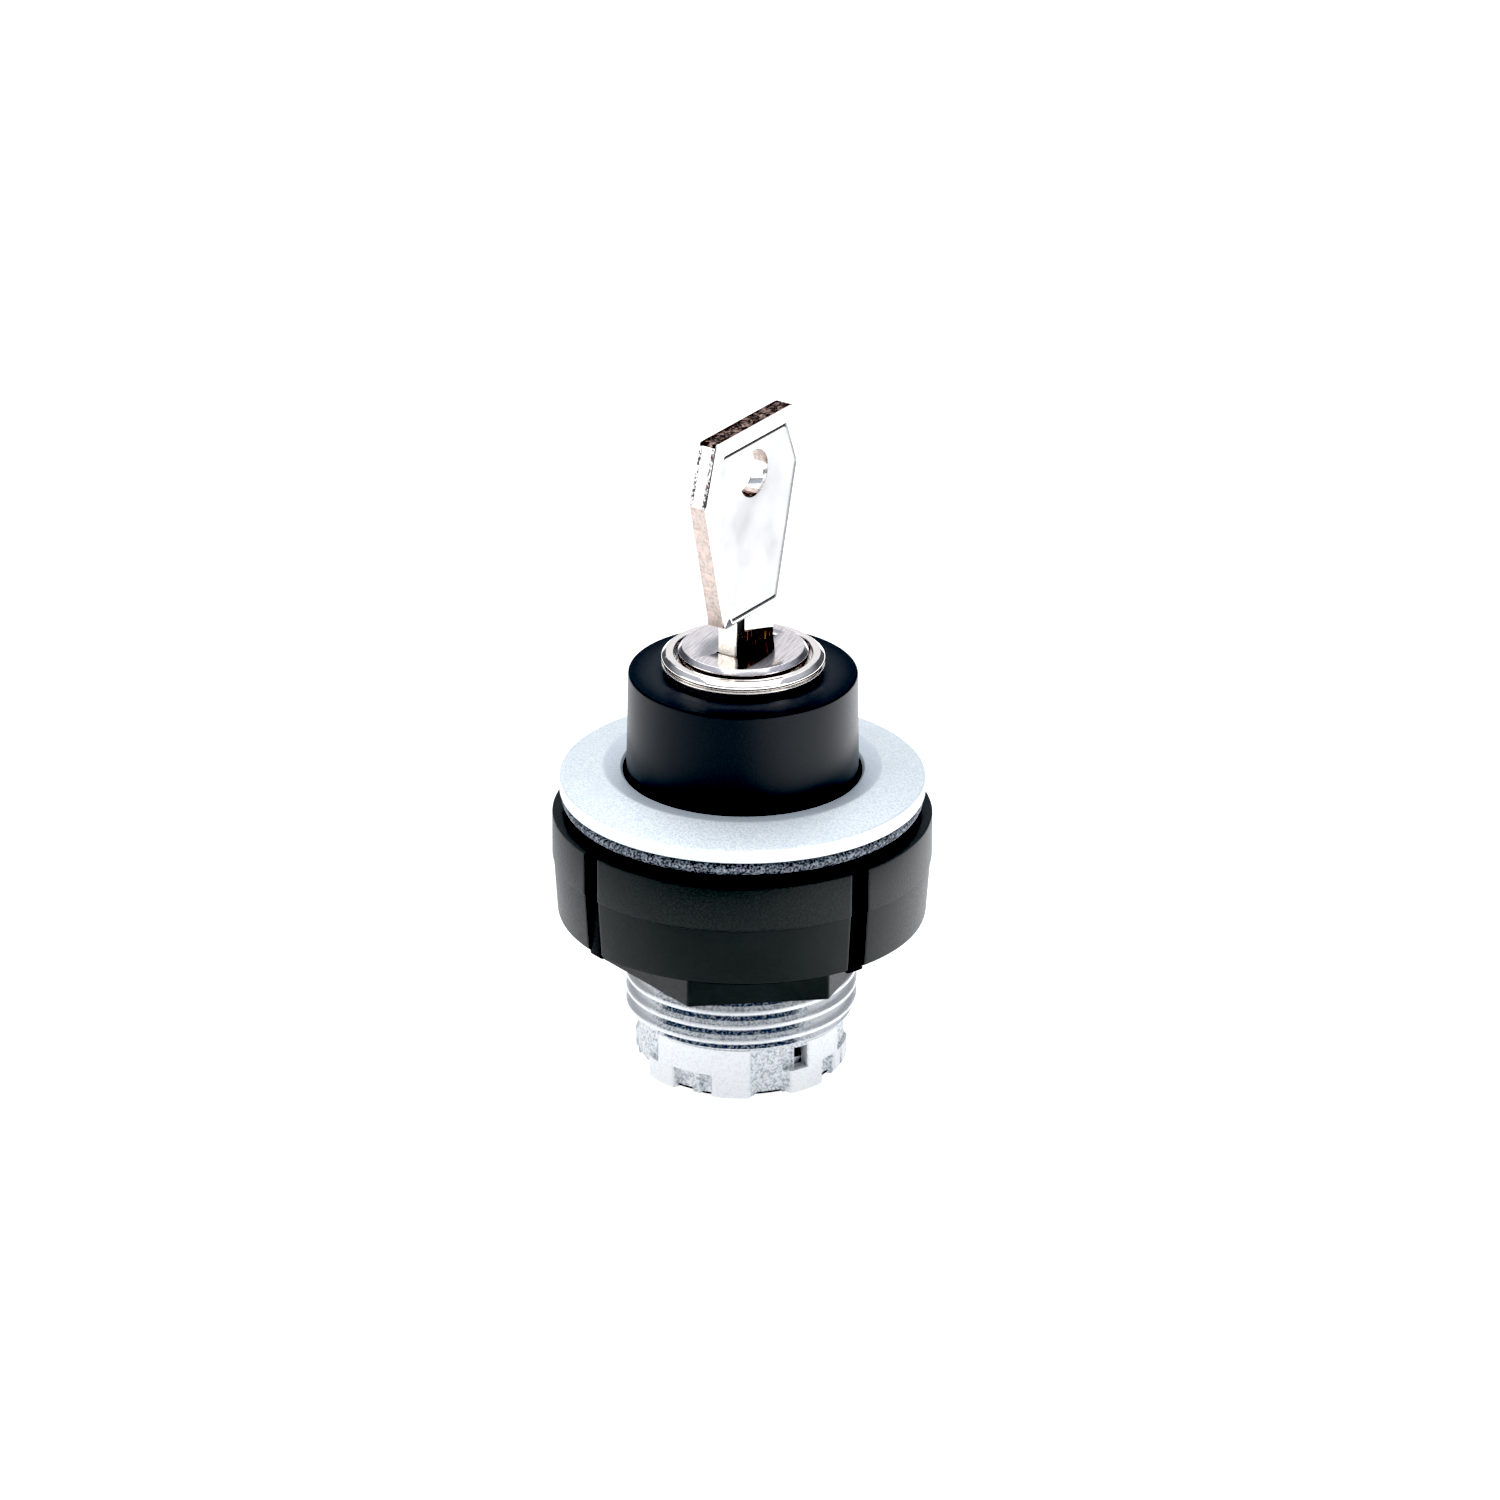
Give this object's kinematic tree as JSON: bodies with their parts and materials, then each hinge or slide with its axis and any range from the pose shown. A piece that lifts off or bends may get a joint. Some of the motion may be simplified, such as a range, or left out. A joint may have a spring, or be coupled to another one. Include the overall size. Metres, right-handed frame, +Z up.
{
  "type": "selector key switch head",
  "caption": "Panel-mount key selector head: threaded metal body, satin bezel, rubber seal, black clamp ring and holder, lock with key, and a face cam that presses plungers.",
  "frame": {"origin": "on the head's axis, level with the foot of the threaded body", "axes": "+Z up the axis to the key, the operator's side; +Y is twelve o'clock on the panel and +X the operator's right"},
  "size_m": [0.036, 0.036, 0.065],
  "materials": {
    "cast_zinc": "bare die-cast zinc, bright on the thread crests, fine cast grain between",
    "satin_bezel": "bead-blasted satin silver",
    "seal_rubber": "matt black nitrile with a speckled moulded band",
    "ring_plastic": "black glass-filled plastic, fine spark texture",
    "holder_plastic": "blue-black plastic, satin",
    "inner_rubber": "matt black",
    "lock_nickel": "polished nickel plate",
    "lock_face": "nickel plate with turned brush marks",
    "key_nickel": "polished nickel plate on a stamped key",
    "brass": "bare brass",
    "spring_steel": "bare spring steel",
    "cam_plastic": "natural acetal",
    "pusher_plastic": "natural acetal",
    "plate_plastic": "black moulded plastic"
  },
  "bodies": {
    "housing": {"threaded_body": "cast_zinc", "bezel": "satin_bezel", "front_seal": "seal_rubber", "key_holder": "holder_plastic", "holder_o_ring": "inner_rubber", "lock_stator": "lock_nickel", "lock_gasket": "inner_rubber", "lock_nut": "brass", "thrust_washer": "spring_steel", "stop_pin": "spring_steel", "guide_plate": "plate_plastic", "plate_clip": "spring_steel", "pusher_spring_right": "spring_steel", "pusher_spring_left": "spring_steel"},
    "ring": {"clamp_ring": "ring_plastic"},
    "barrel": {"lock_rotor": "lock_face", "rotor_clip": "spring_steel", "wafer_1": "brass", "wafer_2": "brass", "wafer_3": "brass", "wafer_4": "brass", "wafer_5": "brass", "switching_cam": "cam_plastic", "detent_ball": "spring_steel", "detent_spring": "spring_steel"},
    "key": {"key": "key_nickel"},
    "right_plunger": {"pusher_right": "pusher_plastic"},
    "left_plunger": {"pusher_left": "pusher_plastic"}
  },
  "joints": [
    {"name": "key_turn", "type": "hinge", "parent": "housing", "child": "barrel", "pos_m": [0, 0, 0.03], "axis": [0, 0, 1], "range_deg": [0, 90]},
    {"name": "key_withdraw", "type": "slide", "parent": "barrel", "child": "key", "axis": [0, 0, 1], "range_m": [0, 0.021]},
    {"name": "ring_travel", "type": "slide", "parent": "housing", "child": "ring", "axis": [0, 0, -1], "range_m": [0, 0.006]},
    {"name": "right_plunger_slide", "type": "slide", "parent": "housing", "child": "right_plunger", "axis": [0, 0, -1], "range_m": [0, 0.0025], "deforming": ["pusher_spring_right"]},
    {"name": "left_plunger_slide", "type": "slide", "parent": "housing", "child": "left_plunger", "axis": [0, 0, -1], "range_m": [0, 0.0025], "deforming": ["pusher_spring_left"]}
  ],
  "couplings": [
    {"joint": "right_plunger_slide", "follows": "key_turn", "m_per_rad": 0.0015915},
    {"joint": "left_plunger_slide", "follows": "key_turn", "m_per_rad": 0.0015915}
  ]
}
